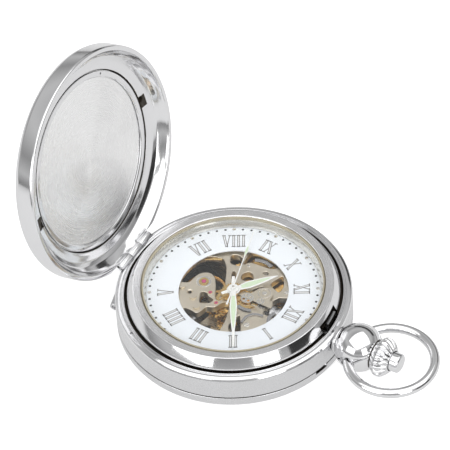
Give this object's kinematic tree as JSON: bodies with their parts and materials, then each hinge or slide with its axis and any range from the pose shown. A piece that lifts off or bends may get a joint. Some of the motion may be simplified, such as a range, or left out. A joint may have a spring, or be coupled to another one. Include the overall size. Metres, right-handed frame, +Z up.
{
  "type": "pocket watch",
  "caption": "Hunter-cased skeleton pocket watch lying on its back with the front cover open, showing a white Roman dial around a pierced movement.",
  "frame": {"origin": "centre of the rear cover's flat outer face, on the case's axis", "axes": "+Z up out of the dial, +X along the pendant to 12 o'clock, 3 o'clock towards -Y"},
  "size_m": [0.0853, 0.048, 0.054],
  "materials": {
    "polished_steel": "mirror polished",
    "satin_steel": "satin",
    "brushed_cover": "circular brushed",
    "champagne_plate": "matt champagne plating",
    "nickel_bridge": "fine brushed nickel plating",
    "brass": "satin",
    "gilt_balance": "polished gilt",
    "spring_steel": "polished spring steel",
    "gasket": "matt",
    "dial_enamel": "gloss enamel",
    "hand_white": "gloss",
    "ruby": "polished",
    "crystal_glass": "clear"
  },
  "bodies": {
    "case": {"case_band": "polished_steel", "front_bezel": "satin_steel", "crystal": "crystal_glass", "crystal_gasket": "gasket", "rehaut_ring": "satin_steel", "dial": "dial_enamel", "movement_ring": "satin_steel", "pendant_neck": "polished_steel", "pendant_ball": "polished_steel", "lift_spring": "spring_steel", "front_hinge_pin": "spring_steel", "back_bezel": "satin_steel", "back_crystal": "crystal_glass", "rear_hinge_pin": "spring_steel", "yoke_spring": "spring_steel", "mainspring": "spring_steel", "hairspring": "spring_steel", "main_plate": "champagne_plate", "barrel_bridge": "nickel_bridge", "train_bridge": "nickel_bridge", "balance_bridge": "nickel_bridge", "pallet_bridge": "nickel_bridge", "balance_jewel_setting": "brass", "balance_jewel": "ruby", "barrel_bridge_screw": "spring_steel", "train_bridge_screw": "spring_steel", "balance_bridge_screw": "spring_steel"},
    "front_cover": {"front_cover": "polished_steel", "cover_inner_ring": "polished_steel", "cover_inner_disc": "brushed_cover"},
    "rear_cover": {"rear_cover": "polished_steel"},
    "bow": {"bow": "polished_steel"},
    "winding_pinion": {"winding_pinion": "spring_steel"},
    "crown": {"crown": "polished_steel", "stem": "spring_steel"},
    "push_button": {"push_button": "polished_steel"},
    "release_sleeve": {"release_sleeve": "spring_steel"},
    "catch_spring": {"catch_spring": "spring_steel"},
    "sliding_clutch": {"sliding_clutch": "spring_steel"},
    "setting_lever": {"setting_lever": "spring_steel"},
    "yoke": {"yoke": "spring_steel"},
    "crown_wheel": {"crown_wheel": "spring_steel"},
    "ratchet": {"ratchet_wheel": "spring_steel", "barrel_arbor": "spring_steel"},
    "click": {"click": "spring_steel"},
    "centre_wheel": {"centre_wheel": "brass", "cannon_pinion": "spring_steel", "minute_hand": "hand_white"},
    "barrel": {"mainspring_barrel": "brass"},
    "third_wheel": {"third_wheel": "brass"},
    "fourth_wheel": {"fourth_wheel": "brass", "second_hand": "hand_white"},
    "escape_wheel": {"escape_wheel": "brass"},
    "pallet_fork": {"pallet_fork": "spring_steel"},
    "balance": {"balance_wheel": "gilt_balance"},
    "minute_wheel": {"minute_wheel": "brass"},
    "hour_wheel": {"hour_wheel": "brass", "hour_hand": "hand_white"},
    "setting_wheel": {"setting_wheel": "spring_steel"}
  },
  "joints": [
    {"name": "front_cover_hinge", "type": "hinge", "parent": "case", "child": "front_cover", "pos_m": [-0.0234, 0, 0.0081], "axis": [0, -1, 0], "range_deg": [-104, 0]},
    {"name": "rear_cover_hinge", "type": "hinge", "parent": "case", "child": "rear_cover", "pos_m": [-0.02328, -0.00624, 0.0026], "axis": [-0.2588, 0.9659, 0], "range_deg": [0, 95]},
    {"name": "bow_swing", "type": "hinge", "parent": "case", "child": "bow", "pos_m": [0.0289, 0, 0.0064], "axis": [0, 1, 0], "range_deg": [-90, 90]},
    {"name": "crown_turn", "type": "hinge", "parent": "case", "child": "winding_pinion", "pos_m": [0.0121, 0, 0.0064], "axis": [1, 0, 0], "continuous": true},
    {"name": "crown_pull", "type": "slide", "parent": "winding_pinion", "child": "crown", "axis": [1, 0, 0], "range_m": [0, 0.001]},
    {"name": "button_push", "type": "slide", "parent": "crown", "child": "push_button", "axis": [1, 0, 0], "range_m": [-0.0008, 0], "stiffness_N_per_m": 400},
    {"name": "sleeve_slide", "type": "slide", "parent": "case", "child": "release_sleeve", "axis": [1, 0, 0], "range_m": [-0.0008, 0]},
    {"name": "catch_flex", "type": "slide", "parent": "case", "child": "catch_spring", "axis": [1, 0, 0], "range_m": [-0.00045, 0]},
    {"name": "clutch_slide", "type": "slide", "parent": "winding_pinion", "child": "sliding_clutch", "axis": [1, 0, 0], "range_m": [-0.001, 0]},
    {"name": "setting_lever_turn", "type": "hinge", "parent": "case", "child": "setting_lever", "pos_m": [0.0145, 0.0026, 0.0075], "axis": [0, 0, 1], "range_deg": [0, 22.63]},
    {"name": "yoke_turn", "type": "hinge", "parent": "case", "child": "yoke", "pos_m": [0.01, -0.006, 0.0075], "axis": [0, 0, 1], "range_deg": [0, 11.67]},
    {"name": "crown_wheel_turn", "type": "hinge", "parent": "case", "child": "crown_wheel", "pos_m": [0.0096, 0, 0.0035], "axis": [0, 0, 1], "continuous": true},
    {"name": "ratchet_turn", "type": "hinge", "parent": "case", "child": "ratchet", "pos_m": [0.00287, 0.00789, 0.0021], "axis": [0, 0, 1], "continuous": true},
    {"name": "click_turn", "type": "hinge", "parent": "case", "child": "click", "pos_m": [-0.0046, 0.0121, 0.0021], "axis": [0, 0, 1], "range_deg": [0, 10], "stiffness_Nm_per_rad": 0.00001},
    {"name": "centre_turn", "type": "hinge", "parent": "case", "child": "centre_wheel", "pos_m": [0, 0, 0.0054], "axis": [0, 0, 1], "continuous": true},
    {"name": "barrel_turn", "type": "hinge", "parent": "case", "child": "barrel", "pos_m": [0.00287, 0.00789, 0.0045], "axis": [0, 0, 1], "continuous": true},
    {"name": "third_turn", "type": "hinge", "parent": "case", "child": "third_wheel", "pos_m": [0.00247, -0.00352, 0.0044], "axis": [0, 0, 1], "continuous": true},
    {"name": "fourth_turn", "type": "hinge", "parent": "case", "child": "fourth_wheel", "pos_m": [0, 0, 0.0032], "axis": [0, 0, 1], "continuous": true},
    {"name": "escape_turn", "type": "hinge", "parent": "case", "child": "escape_wheel", "pos_m": [-0.0019, -0.0038, 0.0043], "axis": [0, 0, 1], "continuous": true},
    {"name": "pallet_turn", "type": "hinge", "parent": "case", "child": "pallet_fork", "pos_m": [-0.0044, -0.0019, 0.0051], "axis": [0, 0, 1], "range_deg": [-5, 5]},
    {"name": "balance_swing", "type": "hinge", "parent": "case", "child": "balance", "pos_m": [-0.007, 0, 0.004], "axis": [0, 0, 1], "range_deg": [-220, 220], "stiffness_Nm_per_rad": 0.00000043},
    {"name": "minute_wheel_turn", "type": "hinge", "parent": "case", "child": "minute_wheel", "pos_m": [0.0033, -0.0003, 0.0074], "axis": [0, 0, 1], "continuous": true},
    {"name": "hour_turn", "type": "hinge", "parent": "case", "child": "hour_wheel", "pos_m": [0, 0, 0.0077], "axis": [0, 0, 1], "continuous": true},
    {"name": "setting_wheel_turn", "type": "hinge", "parent": "case", "child": "setting_wheel", "pos_m": [0.00677, 0, 0.0074], "axis": [0, 0, 1], "continuous": true}
  ],
  "couplings": [
    {"joint": "sleeve_slide", "follows": "button_push", "ratio": 1},
    {"joint": "catch_flex", "follows": "button_push", "ratio": 0.5625},
    {"joint": "clutch_slide", "follows": "crown_pull", "ratio": -1},
    {"joint": "setting_lever_turn", "follows": "crown_pull", "rad_per_m": 394.79},
    {"joint": "yoke_turn", "follows": "crown_pull", "rad_per_m": 203.42},
    {"joint": "crown_wheel_turn", "follows": "crown_turn", "ratio": 0.5},
    {"joint": "ratchet_turn", "follows": "crown_turn", "ratio": -0.29545},
    {"joint": "barrel_turn", "follows": "centre_turn", "ratio": -0.14286},
    {"joint": "third_turn", "follows": "centre_turn", "ratio": -8},
    {"joint": "fourth_turn", "follows": "centre_turn", "ratio": 60},
    {"joint": "escape_turn", "follows": "centre_turn", "ratio": -600},
    {"joint": "minute_wheel_turn", "follows": "centre_turn", "ratio": -0.33333},
    {"joint": "hour_turn", "follows": "centre_turn", "ratio": 0.083333},
    {"joint": "setting_wheel_turn", "follows": "centre_turn", "ratio": 0.83333}
  ]
}
